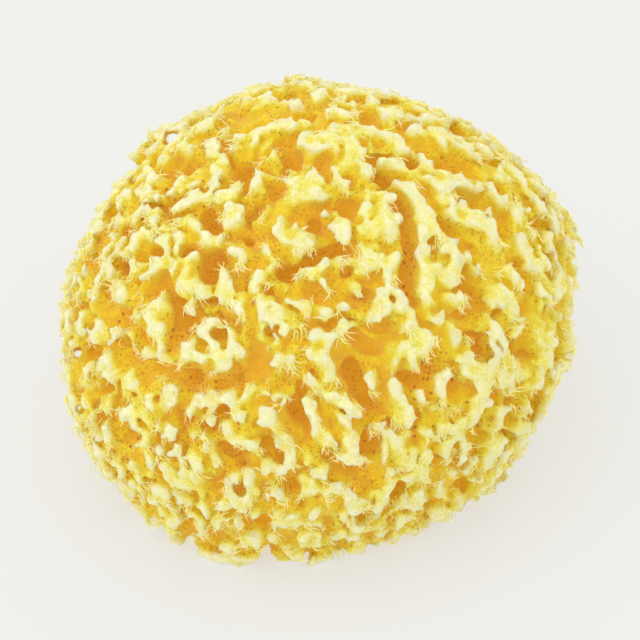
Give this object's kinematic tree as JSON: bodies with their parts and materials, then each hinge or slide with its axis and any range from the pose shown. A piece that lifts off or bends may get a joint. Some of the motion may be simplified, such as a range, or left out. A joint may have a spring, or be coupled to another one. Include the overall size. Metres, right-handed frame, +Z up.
{
  "type": "sea sponge",
  "caption": "Dried honeycomb bath sponge: a rounded, fibrous lump with deep round pits between torn crests, cut flat underneath to rest on a shelf.",
  "frame": {"origin": "on the cut face, under the middle of the lump", "axes": "+Z up out of the cut face, +X along the longest width, -Y towards the side that the picture shows"},
  "size_m": [0.138, 0.1348, 0.1041],
  "materials": {
    "sponge_skin": "dry, matt, felted fibre, cream on the crests and amber in the pits"
  },
  "bodies": {
    "root": {"sponge": "sponge_skin"}
  },
  "joints": []
}
